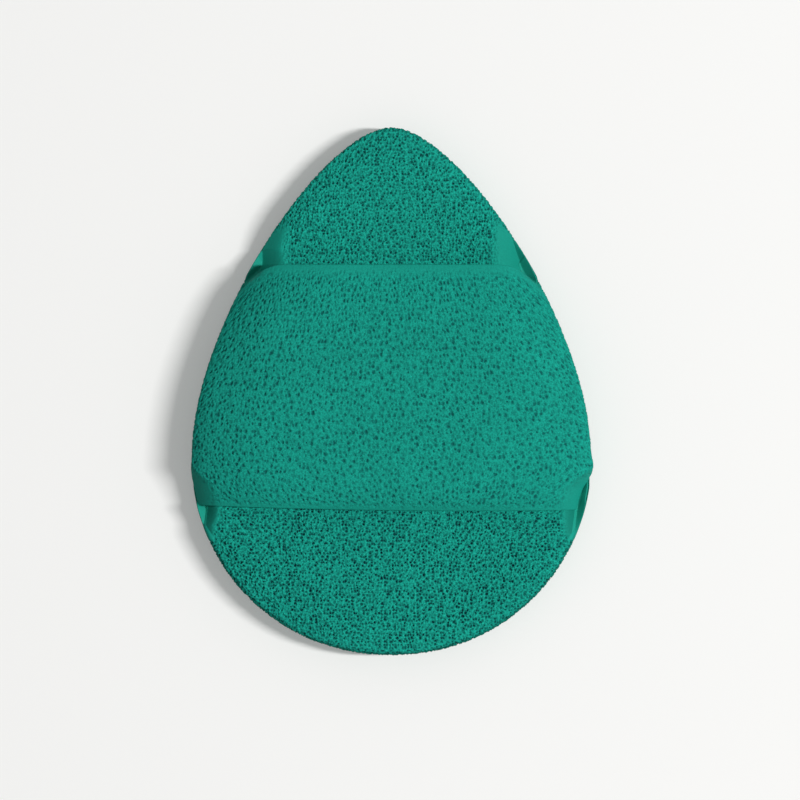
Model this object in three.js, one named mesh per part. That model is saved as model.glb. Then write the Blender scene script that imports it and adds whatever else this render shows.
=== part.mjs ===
// Foam makeup remover glove: a teardrop sponge pad with a foam band bonded across its back.
// The band arches over the pad and makes a finger pocket that is open at both ends.
// Millimetres, +Z up, tip towards +Y, lying on its cleansing face.
// The origin is under the middle of the pad, on the surface that the glove lies on.

import * as THREE from 'three';

// Pad: plan outline
const PAD_LENGTH = 110;
const PAD_WIDTH = 83.5;
const FLANK_FULLNESS = 27; // how long the sides stay upright above the round end
const TIP_FULLNESS = 14.2; // how blunt the tip is

// Pad: heights and edges
const PAD_THICKNESS = 9; // at the crown
const RIM_THICKNESS = 8.2; // at the free edge
const BOTTOM_ROUND = 3;
const TOP_ROUND = 2.5;
const SEAM_HEIGHT = 6; // pad foam pressed flat under the bond
const SHOULDER_WIDTH = 5.5; // slope from the pressed foam up to the crown
const PRESS_FADE = 9; // along the edge, from pressed foam to free foam

// Band
const BAND_LENGTH = 51;
const BAND_TIP_SETBACK = 28.7; // from the pad's tip to the band's front edge
const BAND_FOAM = 3;
const POCKET_GAP = 4.5; // pad crown to the band's inside, at rest
const CROWN_FALL = 0.1; // how much lower the arch is at its two open edges
const ARCH_SQUARENESS = 4.5; // exponent of the arch: 2 is an ellipse
const FRONT_CORNER_PULL = 3;
const FRONT_CORNER_LENGTH = 5;
const BACK_CORNER_PULL = 2;
const BACK_CORNER_LENGTH = 9;
const BAND_EDGE_ROUND = 2.2;

// Bond lines
const BOND_WIDTH = 4.5;
const BOND_THICKNESS = 0.5;
const BOND_SETBACK = 0.3; // inside the pad's outline
const BOND_TIP_TAIL = 2; // past the band's front edge
const BOND_HEEL_TAIL = 6; // past the band's back edge

// Facets
const OUTLINE_STEPS = 112;
const ARCH_STEPS = 32;
const BAND_SPANS = 8;
const BOND_STEPS = 18;
const INNER_RING = 0.4; // last ring of the pad before its centre, as a share of the outline
const FACET_ALLOWANCE = 1.1; // facets are this much longer than the even share of the outline

// Places worked out from the sizes above
const roundRadius = PAD_WIDTH / 2;
const roundCentreY = roundRadius - PAD_LENGTH / 2;
const tipY = PAD_LENGTH / 2;
const bandFrontY = tipY - BAND_TIP_SETBACK;
const bandBackY = bandFrontY - BAND_LENGTH;
const bandBaseZ = SEAM_HEIGHT + BOND_THICKNESS;
const landWidth = BOND_SETBACK + BOND_WIDTH + Math.max(FRONT_CORNER_PULL, BACK_CORNER_PULL);
// Pressed foam reaches one facet past the bond's ends, so that no facet rises through the bond
const outlineLength = (Math.PI / 2) * (PAD_LENGTH + PAD_WIDTH);
const landMargin = (FACET_ALLOWANCE * outlineLength) / OUTLINE_STEPS;
const landTipY = bandFrontY + BOND_TIP_TAIL + landMargin;
const landHeelY = bandBackY - BOND_HEEL_TAIL - landMargin;

const mix = (a, b, share) => a + (b - a) * share;

// Right flank of the outline, from the widest point to the tip
const flank = new THREE.CubicBezierCurve(
  new THREE.Vector2(roundRadius, roundCentreY),
  new THREE.Vector2(roundRadius, roundCentreY + FLANK_FULLNESS),
  new THREE.Vector2(TIP_FULLNESS, tipY),
  new THREE.Vector2(0, tipY),
);

// Whole outline, anticlockwise from the tip: left flank, round end, right flank
function outlinePoints() {
  const shape = new THREE.Shape();
  shape.moveTo(0, tipY);
  shape.bezierCurveTo(
    -TIP_FULLNESS, tipY,
    -roundRadius, roundCentreY + FLANK_FULLNESS,
    -roundRadius, roundCentreY,
  );
  shape.absarc(0, roundCentreY, roundRadius, Math.PI, 2 * Math.PI, false);
  shape.bezierCurveTo(
    roundRadius, roundCentreY + FLANK_FULLNESS,
    TIP_FULLNESS, tipY,
    0, tipY,
  );
  return shape.getSpacedPoints(OUTLINE_STEPS).slice(0, OUTLINE_STEPS);
}

// Half the pad's width at a given y
function halfWidthAt(y) {
  if (y <= roundCentreY) {
    return Math.sqrt(Math.max(roundRadius ** 2 - (y - roundCentreY) ** 2, 0));
  }
  let low = 0;
  let high = 1;
  for (let step = 0; step < 40; step += 1) {
    const middle = (low + high) / 2;
    if (flank.getPoint(middle).y < y) {
      low = middle;
    } else {
      high = middle;
    }
  }
  return flank.getPoint(low).x;
}

// 1 where the pad's edge is pressed under the bond, easing to 0 along the free edge
function pressedAt(y) {
  const past = Math.max(y - landTipY, landHeelY - y, 0);
  return 1 - THREE.MathUtils.smoothstep(past, 0, PRESS_FADE);
}

// Collects vertices and faces of one closed solid
class SolidMesh {
  constructor() {
    this.positions = [];
    this.faces = [];
  }

  vertex(x, y, z) {
    this.positions.push(x, y, z);
    return this.positions.length / 3 - 1;
  }

  triangle(a, b, c) {
    this.faces.push(a, b, c);
  }

  quad(a, b, c, d) {
    this.faces.push(a, b, c, a, c, d);
  }

  geometry() {
    const made = new THREE.BufferGeometry();
    made.setAttribute('position', new THREE.Float32BufferAttribute(this.positions, 3));
    made.setIndex(this.faces);
    made.computeVertexNormals();
    return made;
  }
}

// Sponge pad: rings of the outline, from the flat face up round the edge and over the crown
function padGeometry() {
  const solid = new SolidMesh();
  const outline = outlinePoints();
  const centre = new THREE.Vector2(0, roundCentreY / 2);
  const halfRound = Math.SQRT1_2; // sine and cosine at the middle of a rounded edge
  const shoulderInset = landWidth + SHOULDER_WIDTH;

  const crownAt = (share) => PAD_THICKNESS - (PAD_THICKNESS - RIM_THICKNESS) * share ** 2;

  // Height of the pad's back, where `inset` is the distance in from the edge
  function topAt(inset, reach, y) {
    const free = crownAt(1 - inset / reach);
    const slope = 1 - THREE.MathUtils.smoothstep(inset, landWidth, shoulderInset);
    return mix(free, SEAM_HEIGHT, slope * pressedAt(y));
  }

  // Each ring gives its inset and its height for one point of the outline
  const sideTop = RIM_THICKNESS - TOP_ROUND;
  const rings = [
    { inset: () => BOTTOM_ROUND, height: () => 0 },
    { inset: () => BOTTOM_ROUND * (1 - halfRound), height: () => BOTTOM_ROUND * (1 - halfRound) },
    { inset: () => 0, height: () => BOTTOM_ROUND },
    { inset: () => 0, height: (inset, reach, y) => mix(sideTop, SEAM_HEIGHT, pressedAt(y)) },
    {
      inset: () => TOP_ROUND * (1 - halfRound),
      height: (inset, reach, y) => mix(sideTop + TOP_ROUND * halfRound, SEAM_HEIGHT, pressedAt(y)),
    },
    { inset: () => TOP_ROUND, height: topAt },
    { inset: () => (TOP_ROUND + landWidth) / 2, height: topAt },
    { inset: () => landWidth, height: topAt },
    { inset: () => landWidth + SHOULDER_WIDTH / 2, height: topAt },
    { inset: () => shoulderInset, height: topAt },
    { inset: (reach) => reach * (1 - INNER_RING), height: topAt },
  ];

  const ringVertices = rings.map((ring) => outline.map((point) => {
    const reach = point.distanceTo(centre);
    const inset = ring.inset(reach);
    const place = point.clone().lerp(centre, inset / reach);
    return solid.vertex(place.x, place.y, ring.height(inset, reach, place.y));
  }));
  const bottom = solid.vertex(centre.x, centre.y, 0);
  const top = solid.vertex(centre.x, centre.y, PAD_THICKNESS);

  for (let step = 0; step < OUTLINE_STEPS; step += 1) {
    const next = (step + 1) % OUTLINE_STEPS;
    const onTheLeft = step < OUTLINE_STEPS / 2;
    solid.triangle(bottom, ringVertices[0][next], ringVertices[0][step]);
    for (let ring = 0; ring + 1 < rings.length; ring += 1) {
      const below = ringVertices[ring];
      const above = ringVertices[ring + 1];
      // Each quad is split along the diagonal that mirrors the other side's
      if (onTheLeft) {
        solid.quad(below[next], above[next], above[step], below[step]);
      } else {
        solid.quad(below[step], below[next], above[next], above[step]);
      }
    }
    const last = ringVertices[rings.length - 1];
    solid.triangle(top, last[step], last[next]);
  }
  return solid.geometry();
}

// How far the band's sides draw in near its four corners
function cornerPullAt(y) {
  const front = Math.max(1 - (bandFrontY - y) / FRONT_CORNER_LENGTH, 0);
  const back = Math.max(1 - (y - bandBackY) / BACK_CORNER_LENGTH, 0);
  return FRONT_CORNER_PULL * front ** 2 + BACK_CORNER_PULL * back ** 2;
}

// One point of an arch that stands on z = 0, from the right foot at 0 to the left foot at 1
function archPoint(along, halfWidth, rise) {
  const angle = along * Math.PI;
  const power = 2 / ARCH_SQUARENESS;
  const across = Math.cos(angle);
  const up = Math.max(Math.sin(angle), 0);
  return new THREE.Vector2(
    Math.sign(across) * halfWidth * Math.abs(across) ** power,
    along === 0 || along === 1 ? 0 : rise * up ** power,
  );
}

// Foam band: an arched shell with rounded open edges, standing on its two bonded margins
function bandGeometry() {
  const solid = new SolidMesh();
  const END_FULLNESS = 0.35; // share of the foam's thickness left at the very edge
  const ROUND_STEP = 0.3; // first step into the rounded edge, as a share of its radius
  const ROUND_FULLNESS = 0.78; // share of the foam's thickness at that step

  const rows = [
    { y: bandBackY, fullness: END_FULLNESS },
    { y: bandBackY + BAND_EDGE_ROUND * ROUND_STEP, fullness: ROUND_FULLNESS },
  ];
  for (let span = 0; span <= BAND_SPANS; span += 1) {
    const from = bandBackY + BAND_EDGE_ROUND;
    const to = bandFrontY - BAND_EDGE_ROUND;
    rows.push({ y: mix(from, to, span / BAND_SPANS), fullness: 1 });
  }
  rows.push({ y: bandFrontY - BAND_EDGE_ROUND * ROUND_STEP, fullness: ROUND_FULLNESS });
  rows.push({ y: bandFrontY, fullness: END_FULLNESS });

  const middleY = (bandFrontY + bandBackY) / 2;
  const innerRise = PAD_THICKNESS + POCKET_GAP - bandBaseZ;
  const outer = [];
  const inner = [];
  rows.forEach((row) => {
    const halfWidth = halfWidthAt(row.y) - cornerPullAt(row.y);
    const fall = CROWN_FALL * ((row.y - middleY) / (BAND_LENGTH / 2)) ** 2;
    const outerRow = [];
    const innerRow = [];
    for (let step = 0; step <= ARCH_STEPS; step += 1) {
      const along = step / ARCH_STEPS;
      const skin = archPoint(along, halfWidth, innerRise + BAND_FOAM - fall);
      const lining = archPoint(along, halfWidth - BOND_WIDTH, innerRise - fall);
      const middle = skin.clone().lerp(lining, 1 / 2);
      skin.lerpVectors(middle, skin, row.fullness);
      lining.lerpVectors(middle, lining, row.fullness);
      outerRow.push(solid.vertex(skin.x, row.y, skin.y));
      innerRow.push(solid.vertex(lining.x, row.y, lining.y));
    }
    outer.push(outerRow);
    inner.push(innerRow);
  });

  const lastRow = rows.length - 1;
  for (let row = 0; row < lastRow; row += 1) {
    const next = row + 1;
    for (let step = 0; step < ARCH_STEPS; step += 1) {
      solid.quad(outer[row][step], outer[next][step], outer[next][step + 1], outer[row][step + 1]);
      solid.quad(inner[row][step], inner[row][step + 1], inner[next][step + 1], inner[next][step]);
    }
    solid.quad(outer[row][0], inner[row][0], inner[next][0], outer[next][0]);
    const foot = ARCH_STEPS;
    solid.quad(outer[row][foot], outer[next][foot], inner[next][foot], inner[row][foot]);
  }
  for (let step = 0; step < ARCH_STEPS; step += 1) {
    solid.quad(outer[0][step], outer[0][step + 1], inner[0][step + 1], inner[0][step]);
    const front = { outer: outer[lastRow], inner: inner[lastRow] };
    solid.quad(front.outer[step], front.inner[step], front.inner[step + 1], front.outer[step + 1]);
  }
  return solid.geometry();
}

// Bond line: a flat film along one side of the pad, tapered at both ends
function bondGeometry(side) {
  const heelY = bandBackY - BOND_HEEL_TAIL;
  const frontY = bandFrontY + BOND_TIP_TAIL;
  const edge = [];
  const inside = [];
  for (let step = 0; step <= BOND_STEPS; step += 1) {
    const y = mix(heelY, frontY, step / BOND_STEPS);
    const x = halfWidthAt(y) - BOND_SETBACK;
    edge.push(new THREE.Vector2(side * x, y));
    const taper = Math.min((y - heelY) / BOND_HEEL_TAIL, (frontY - y) / BOND_TIP_TAIL, 1);
    if (taper > 0) {
      inside.push(new THREE.Vector2(side * (x - BOND_WIDTH * taper), y));
    }
  }
  const film = new THREE.Shape([...edge, ...inside.reverse()]);
  return new THREE.ExtrudeGeometry(film, { depth: BOND_THICKNESS, bevelEnabled: false });
}

function piece(name, geometry, color, roughness) {
  const material = new THREE.MeshStandardMaterial({ color, roughness, metalness: 0 });
  const mesh = new THREE.Mesh(geometry, material);
  mesh.name = name;
  return mesh;
}

const pad = piece('cleansing_pad', padGeometry(), 0x179680, 0.95);

const leftBond = piece('left_bond_line', bondGeometry(-1), 0x1a9c86, 0.5);
leftBond.position.z = SEAM_HEIGHT;

const rightBond = piece('right_bond_line', bondGeometry(1), 0x1a9c86, 0.5);
rightBond.position.z = SEAM_HEIGHT;

const band = piece('pocket_band', bandGeometry(), 0x189882, 0.95);
band.position.z = bandBaseZ;

const glove = new THREE.Group();
glove.name = 'makeup_remover_glove';
glove.add(pad, leftBond, rightBond, band);

export default glove;
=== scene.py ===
import math

import bpy
import numpy as np
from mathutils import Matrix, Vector


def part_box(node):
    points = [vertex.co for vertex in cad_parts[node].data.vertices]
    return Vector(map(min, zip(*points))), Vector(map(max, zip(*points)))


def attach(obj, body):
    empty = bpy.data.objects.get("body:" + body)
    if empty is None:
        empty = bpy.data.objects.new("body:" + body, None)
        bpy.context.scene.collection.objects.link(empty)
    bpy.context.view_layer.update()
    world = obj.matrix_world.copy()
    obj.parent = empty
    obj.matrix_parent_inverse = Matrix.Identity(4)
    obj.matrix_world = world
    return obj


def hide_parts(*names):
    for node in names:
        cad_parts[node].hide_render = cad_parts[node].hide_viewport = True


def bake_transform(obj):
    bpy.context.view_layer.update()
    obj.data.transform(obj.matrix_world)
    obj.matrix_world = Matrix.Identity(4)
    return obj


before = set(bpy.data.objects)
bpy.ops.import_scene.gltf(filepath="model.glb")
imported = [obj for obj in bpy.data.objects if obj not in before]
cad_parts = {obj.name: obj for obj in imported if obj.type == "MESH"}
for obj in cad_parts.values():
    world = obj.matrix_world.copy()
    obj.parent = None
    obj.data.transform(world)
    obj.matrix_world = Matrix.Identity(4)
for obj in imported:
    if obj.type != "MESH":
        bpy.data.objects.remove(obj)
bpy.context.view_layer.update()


# Cleansing pad
# A teardrop die-cut from sheet sponge about 9 mm thick, so its cut faces and edge show open pores.
# Its edge is pressed thin and smooth on both sides, where the finger band is bonded to it.

MM = 0.001

pad_low, pad_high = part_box("cleansing_pad")
ROUND_RADIUS = (pad_high.x - pad_low.x) / 2
ROUND_Y = pad_low.y + ROUND_RADIUS
TIP_Y = pad_high.y
FLANK_FULLNESS = 27 * MM
TIP_FULLNESS = 14.2 * MM
HEEL_SQUARENESS = 2.05  # exponent of the round end: 2 is a circle
PAD_MIDDLE = np.array([0, ROUND_Y / 2])

CROWN_HEIGHT = pad_high.z
HEEL_DROP = 1.3 * MM
HEEL_DOME = 5.5 * MM
TIP_DROP = 1.2 * MM
TIP_DOME = 8.0 * MM
DOME_POWER = 2.2
TIP_ROUND = 0.7 * MM
HEEL_ROUND = 1.6 * MM
BOTTOM_ROUND = 2.6 * MM
WAIST = 0.35 * MM  # how far the wall is drawn in at half its height

# The pressed edge: a flat land under the band, a slope up to the back, and a fade past the band's ends
bond_low, bond_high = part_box("right_bond_line")
SEAM_HEIGHT = bond_low.z
FRONT_GROOVE_HEIGHT = 4.7 * MM
PRESSED_EDGE_ROUND = 0.1 * MM
LAND_UNDER_BAND = 5.4 * MM
FRONT_SLOPE = 4.4 * MM
BACK_SLOPE = 2.7 * MM
SLOPE_CROWN = 1.5
SLOPE_NARROWING = 0.3
FRONT_PRESS_FADE = 12.5 * MM
BACK_PRESS_FADE = 8.5 * MM
PINCH = 0.9 * MM

band_low, band_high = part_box("pocket_band")
BAND_BACK_Y = band_low.y
BAND_FRONT_Y = band_high.y
FRONT_CORNER = 5.0 * MM
BACK_CORNER = 10.4 * MM
CORNER_START = 0.4  # share of a corner's length that is corner all through
BACK_SHELF_START = 2.5 * MM
BACK_SHELF_END = 0.5 * MM

# The pressed edge curls up in a low lip at each corner of the band, and runs on further on the right
LIP_RISE = 1.7 * MM
FRONT_LIP_WIDTH = 1.9 * MM
BACK_LIP_WIDTH = 1.55 * MM
RIGHT_LIP_TAIL = 6.6 * MM
LEFT_LIP_TAIL = 3.2 * MM
LIP_TAPER = 0.8
THINNEST_LIP = 0.01 * MM

# Skin is how far the pores are closed, and the darkening how dense the foam is, plus painted shade along
# the edge: 0 as cut, 1 where it melted
RIM_SKIN = 0.25
RIM_SKIN_WIDTH = 2.6 * MM
RIM_SKIN_FADE = (0.3, 1)
TIP_SKIN = 0.09
WALL_SKIN = 0.125
SQUEEZED_SHUT = 0.5
SLOPE_SKIN_FADE = (0.7, 1.5)
SLOPE_PRESS_FADE = (0.7, 1.25)
FRONT_PRESS = 0.5
GLUE_PAST_LIP = 0.7 * MM
MELTED_WALL = 0.8 * MM
MELTED_WALL_END = 2.4 * MM
SQUASHED_WALL = 0.4
# Painted shade in a narrow line along the top of the wall
HEEL_RIM_SHADE = 1.0
TIP_RIM_SHADE = 0.5
RIM_SHADE_FADE = (0.15 * MM, 0.9 * MM)
RIM_SHADE_DEPTH = (1.2 * MM, 2.4 * MM)

FLANK_POINTS = 500
ROUND_POINTS = 501
PAD_CELLS_ACROSS = 440
PAD_CELLS_ALONG = 580
RIM_CROWDING = 1.15
WALL_ROUND_STEPS = 13
WALL_STEPS = 14
WALL_BOTTOM_STEPS = 18


def mix(low, high, share):
    """The value that lies a share of the way from low to high."""
    return low + (high - low) * share


def smooth_step(value, start, end):
    """0 before start, 1 after end, and an S-curve between them."""
    share = np.clip((value - start) / (end - start), 0, 1)
    return share * share * (3 - 2 * share)


def outline_curve():
    """The pad's outline as a dense closed polyline, anticlockwise from the tip and back to it."""
    t = np.linspace(0, 1, FLANK_POINTS)[:, None]
    left_flank = (
        (1 - t) ** 3 * np.array([0, TIP_Y])
        + 3 * (1 - t) ** 2 * t * np.array([-TIP_FULLNESS, TIP_Y])
        + 3 * (1 - t) * t**2 * np.array([-ROUND_RADIUS, ROUND_Y + FLANK_FULLNESS])
        + t**3 * np.array([-ROUND_RADIUS, ROUND_Y])
    )
    turn = np.linspace(math.pi, 2 * math.pi, ROUND_POINTS)
    ray = np.column_stack([np.cos(turn), np.sin(turn)])
    stretch = (abs(ray) ** HEEL_SQUARENESS).sum(axis=1) ** (-1 / HEEL_SQUARENESS)
    round_end = [0, ROUND_Y] + ROUND_RADIUS * ray * stretch[:, None]
    right_flank = left_flank[::-1] * [-1, 1]
    return np.concatenate([left_flank[:-1], round_end[:-1], right_flank])


outline = outline_curve()
walked = np.concatenate([[0], np.cumsum(np.linalg.norm(np.diff(outline, axis=0), axis=1))])
right_side = outline[len(outline) // 2 :]


def outline_at(turn):
    """Points on the outline, where turn runs from 0 at the tip round to 1 at the tip again."""
    along = turn * walked[-1]
    return np.stack([np.interp(along, walked, outline[:, axis]) for axis in (0, 1)], axis=-1)


def edge_reach(turn):
    """How far the outline lies from the pad's middle."""
    return np.linalg.norm(outline_at(turn) - PAD_MIDDLE, axis=-1)


def inside_outline(turn, inset):
    """Points at a distance `inset` from the outline, on the way to the pad's middle."""
    return PAD_MIDDLE + (outline_at(turn) - PAD_MIDDLE) * (1 - inset / edge_reach(turn))[..., None]


def half_width(y):
    """Half the pad's width at y."""
    return np.interp(y, right_side[:, 1], right_side[:, 0])


def past_band(y):
    """How far y lies beyond the band's front or back edge, or 0 under the band."""
    return np.maximum(np.maximum(y - BAND_FRONT_Y, BAND_BACK_Y - y), 0)


def pressed(y):
    """1 along the bonded edge, easing to 0 along the free edge."""
    fade = np.where(y > 0, FRONT_PRESS_FADE, BACK_PRESS_FADE)
    return 1 - smooth_step(past_band(y), 0, fade)


def past_glue(y):
    """How far y lies beyond the end of the glue that holds the band."""
    return np.maximum(np.maximum(y - bond_high.y, bond_low.y - y), 0)


def corner_share(y):
    """1 at the band's front and back edges and past them, easing to 0 along the band."""
    along = np.minimum((BAND_FRONT_Y - y) / FRONT_CORNER, (y - BAND_BACK_Y) / BACK_CORNER)
    return 1 - smooth_step(along, CORNER_START, 1)


def beside_band(y):
    """0 where the band stands on the pad's edge, 1 where the edge is open to view."""
    front = smooth_step(y, BAND_FRONT_Y - FRONT_CORNER, BAND_FRONT_Y)
    back = smooth_step(y, BAND_BACK_Y + BACK_SHELF_START, BAND_BACK_Y + BACK_SHELF_END)
    return np.maximum(front, back)


def lip_share(place):
    """1 at the corners of the band, easing to 0 along the band and past it."""
    x, y = place[..., 0], place[..., 1]
    tail = np.where(x > 0, RIGHT_LIP_TAIL, LEFT_LIP_TAIL)
    corner = np.where(x > 0, corner_share(y), beside_band(y))
    return corner * np.clip(1 - past_band(y) / tail, 0, 1) ** LIP_TAPER


def lip_width(place):
    """Width of the curled lip, which is 0 away from the band's corners."""
    return np.where(place[..., 1] > 0, FRONT_LIP_WIDTH, BACK_LIP_WIDTH) * lip_share(place)


def towards_tip(y):
    """0 behind the band, 1 in front of it."""
    return smooth_step(y, BAND_BACK_Y, BAND_FRONT_Y)


def top_round(y):
    """Radius of the back's edge, nearly sharp where it is pressed."""
    return mix(mix(HEEL_ROUND, TIP_ROUND, towards_tip(y)), PRESSED_EDGE_ROUND, pressed(y))


def pinch(y):
    """How far the pressed edge is drawn in along the band."""
    return PINCH * pressed(y) * (1 - corner_share(y))


def slope_width(y):
    """Width of the pressed slope, which narrows past the band."""
    return np.where(y > 0, FRONT_SLOPE, BACK_SLOPE) * mix(SLOPE_NARROWING, 1, pressed(y))


def pad_back_height(inset, place):
    """Height of the pad's back at points that lie a distance `inset` from its edge."""
    y = place[..., 1]
    drop = mix(HEEL_DROP, TIP_DROP, towards_tip(y))
    dome = mix(HEEL_DOME, TIP_DOME, towards_tip(y))
    free = CROWN_HEIGHT - drop * np.clip(1 - inset / dome, 0, 1) ** DOME_POWER
    lip = lip_width(place)
    land = mix(LAND_UNDER_BAND, lip, beside_band(y))
    roll = np.clip(1 - (inset - land) / slope_width(y), 0, 1) ** SLOPE_CROWN
    curl = np.clip(1 - inset / np.maximum(lip, THINNEST_LIP), 0, 1) * lip_share(place)
    at_front = smooth_step(y, BAND_FRONT_Y - FRONT_CORNER, BAND_FRONT_Y)
    groove = mix(SEAM_HEIGHT, FRONT_GROOVE_HEIGHT, at_front)
    return mix(free, groove + LIP_RISE * curl, roll * pressed(y))


def wrapped_grid(across, along):
    """Radius and turn, each from 0 to 1, of a square grid wrapped onto a disc without a crowded middle."""
    a, b = np.meshgrid(np.linspace(-1, 1, across + 1), np.linspace(-1, 1, along + 1))
    wide = abs(a) > abs(b)
    reach = np.where(wide, a, b)
    share = np.where(wide, b, a) / np.where(reach == 0, 1, reach)
    angle = np.where(wide, math.pi / 4 * share, math.pi / 2 - math.pi / 4 * share)
    x, y = reach * np.cos(angle), reach * np.sin(angle)
    radius = 1 - np.clip(1 - np.hypot(x, y), 0, 1) ** RIM_CROWDING
    return radius.ravel(), (np.arctan2(-x, y) / (2 * math.pi) % 1).ravel()


def grid_quads(ids):
    """Quads between neighbouring rows and columns of a 2-D array of vertex numbers."""
    return np.stack([ids[:-1, :-1], ids[:-1, 1:], ids[1:, 1:], ids[1:, :-1]], axis=-1).reshape(-1, 4)


def quad_object(name, points, quads, uv, **attributes):
    """A smooth mesh object of quads, with a UV for each corner and numbers or vectors for each vertex."""
    mesh = bpy.data.meshes.new(name)
    mesh.vertices.add(len(points))
    mesh.vertices.foreach_set("co", points.astype(np.float32).ravel())
    mesh.loops.add(quads.size)
    mesh.polygons.add(len(quads))
    mesh.polygons.foreach_set("loop_start", np.arange(0, quads.size, 4, dtype=np.int32))
    mesh.polygons.foreach_set("vertices", quads.astype(np.int32).ravel())
    mesh.update(calc_edges=True)
    mesh.uv_layers.new(name="OFBake").uv.foreach_set("vector", uv.astype(np.float32).ravel())
    for key, values in attributes.items():
        kind, field = ("FLOAT", "value") if values.ndim == 1 else ("FLOAT_VECTOR", "vector")
        mesh.attributes.new(key, kind, "POINT").data.foreach_set(field, values.astype(np.float32).ravel())
    mesh.shade_smooth()
    made = bpy.data.objects.new(name, mesh)
    bpy.context.scene.collection.objects.link(made)
    return made


def wall_levels(rim_turn, top_height):
    """Inset and height of the wall's levels, from under the back's edge down to the edge of the face."""
    rim_y = outline_at(rim_turn)[:, 1]
    rim_round = top_round(rim_y)
    quarter = np.linspace(0, math.pi / 2, WALL_ROUND_STEPS + 1)[1:, None]
    upper_inset = rim_round * (1 - np.sin(quarter)) + pinch(rim_y)
    upper_height = top_height - rim_round * (1 - np.cos(quarter))
    down = np.linspace(0, 1, WALL_STEPS + 1)[1:, None]
    middle_inset = WAIST * np.sin(math.pi * down) + pinch(rim_y) * (1 - down)
    middle_height = mix(top_height - rim_round, BOTTOM_ROUND, down)
    quarter = np.linspace(0, math.pi / 2, WALL_BOTTOM_STEPS + 1)[1:-1, None]
    lower_inset = BOTTOM_ROUND * (1 - np.cos(quarter)) * np.ones(len(rim_turn))
    lower_height = BOTTOM_ROUND * (1 - np.sin(quarter)) * np.ones(len(rim_turn))
    inset = np.concatenate([upper_inset, middle_inset, lower_inset])
    height = np.concatenate([upper_height, middle_height, lower_height])
    return inset, height


def back_skin_and_press(inset, place):
    """How far the pores of the pad's back are closed, and how dense its foam is."""
    y = place[:, 1]
    # Pressing melts the pores of the slope shut, and die-cutting partly shuts those along the rim
    slope_end = slope_width(y) + lip_width(place)
    squeezed = smooth_step(pressed(y), 0, SQUEEZED_SHUT)
    slope_skin = squeezed * (1 - smooth_step(inset / slope_end, *SLOPE_SKIN_FADE))
    glued = 1 - smooth_step(inset - lip_width(place), GLUE_PAST_LIP, 2 * GLUE_PAST_LIP)
    glued *= 1 - smooth_step(past_glue(y), 0, GLUE_PAST_LIP)
    rim_skin = RIM_SKIN * (1 - smooth_step(inset / RIM_SKIN_WIDTH, *RIM_SKIN_FADE))
    tip_skin = TIP_SKIN * towards_tip(y)
    skin = np.maximum.reduce([slope_skin, glued, rim_skin, tip_skin])
    press = squeezed * (1 - smooth_step(inset / slope_end, *SLOPE_PRESS_FADE))
    press *= np.where(y > 0, FRONT_PRESS, 1)
    return skin, press


def wall_skin_and_press(rim_y, inset, depth):
    """The same for the pad's wall, where depth is measured down from the back's edge, with painted shade
    along the top of the wall added to the darkening.
    """
    # The wall is melted shut only near its top, and keeps squashed pores below that
    near_top = 1 - smooth_step(depth, MELTED_WALL, MELTED_WALL_END)
    squashed = pressed(rim_y) * mix(SQUASHED_WALL, 1, near_top)
    glued = near_top * (1 - smooth_step(past_glue(rim_y), 0, 2 * GLUE_PAST_LIP))
    skin = np.maximum.reduce([squashed, glued, np.full(squashed.shape, WALL_SKIN)])
    # A narrow line along the top of the wall takes painted shade, more round the heel than at the tip, for
    # a dark outline along the edge
    rim_shade = mix(HEEL_RIM_SHADE, TIP_RIM_SHADE, towards_tip(rim_y))
    rim_shade = rim_shade * (1 - smooth_step(inset, *RIM_SHADE_FADE))
    rim_shade *= 1 - smooth_step(depth, *RIM_SHADE_DEPTH)
    press = np.maximum(squashed, rim_shade)
    return skin.ravel(), press.ravel()


def pad_uv(points, back_quads, face_quads, rim_turn, rows):
    """UVs of back and face side by side, and of the wall's rows of quads above them in two strips."""
    gap = 1.0 * MM
    unit = 1 / (4 * ROUND_RADIUS + 4 * gap)
    flat = points[:, :2] - [pad_low.x - gap, pad_low.y - gap]
    back_uv = flat[back_quads] * unit
    face_uv = (flat[face_quads] + [2 * ROUND_RADIUS + 2 * gap, 0]) * unit

    rim_count = len(rim_turn)
    half = rim_count // 2
    column = np.tile(np.arange(rim_count), rows)
    row = np.repeat(np.arange(rows), rim_count)
    strip = (column >= half)[:, None]
    strip_top = pad_high.y - pad_low.y + 4 * gap
    strip_height = CROWN_HEIGHT + BOTTOM_ROUND + HEEL_ROUND
    corner_column = np.stack([column, column, column + 1, column + 1], axis=-1)
    corner_row = np.stack([row + 1, row, row, row + 1], axis=-1) / rows
    corner_turn = np.append(rim_turn, 1)[corner_column] - strip * rim_turn[half]
    wall_u = gap + corner_turn * walked[-1]
    wall_v = strip_top + strip * (strip_height + 4 * gap) + corner_row * strip_height
    wall_uv = np.stack([wall_u, wall_v], axis=-1) * unit
    return np.concatenate([back_uv, face_uv, wall_uv])


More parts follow.
